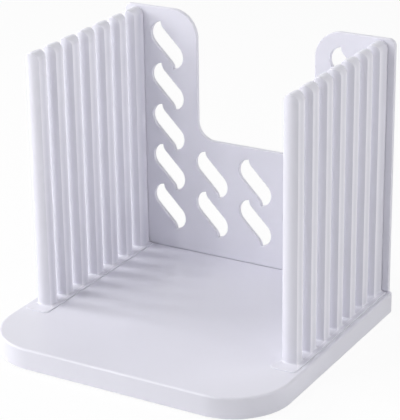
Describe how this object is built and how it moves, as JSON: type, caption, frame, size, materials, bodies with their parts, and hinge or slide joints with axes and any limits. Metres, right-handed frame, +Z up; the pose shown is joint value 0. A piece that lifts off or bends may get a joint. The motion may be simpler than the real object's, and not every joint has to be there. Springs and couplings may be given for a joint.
{
  "type": "bread slicer guide",
  "caption": "Board with upright combs of posts along both sides and a notched, pierced back panel, which guides a knife while a loaf is sliced.",
  "frame": {"origin": "centre of the board's footprint, on the surface the feet rest on", "axes": "+Z up, +Y from the open front towards the back panel, +X to the right as seen from the front"},
  "size_m": [0.174, 0.161, 0.1605],
  "materials": {
    "white_plastic": "smooth glossy moulding",
    "rubber": "matte grey"
  },
  "bodies": {
    "board": {"base": "white_plastic", "foot_front_left": "rubber", "foot_front_right": "rubber", "foot_rear_left": "rubber", "foot_rear_right": "rubber"},
    "left_comb": {"left_comb": "white_plastic"},
    "right_comb": {"right_comb": "white_plastic"},
    "back_panel": {"back_panel": "white_plastic"}
  },
  "joints": [
    {"name": "left_comb_lift", "type": "slide", "parent": "board", "child": "left_comb", "axis": [0, 0, 1], "range_m": [0, 0.0085]},
    {"name": "right_comb_lift", "type": "slide", "parent": "board", "child": "right_comb", "axis": [0, 0, 1], "range_m": [0, 0.0085]},
    {"name": "back_panel_lift", "type": "slide", "parent": "board", "child": "back_panel", "axis": [0, 0, 1], "range_m": [0, 0.0085]}
  ]
}
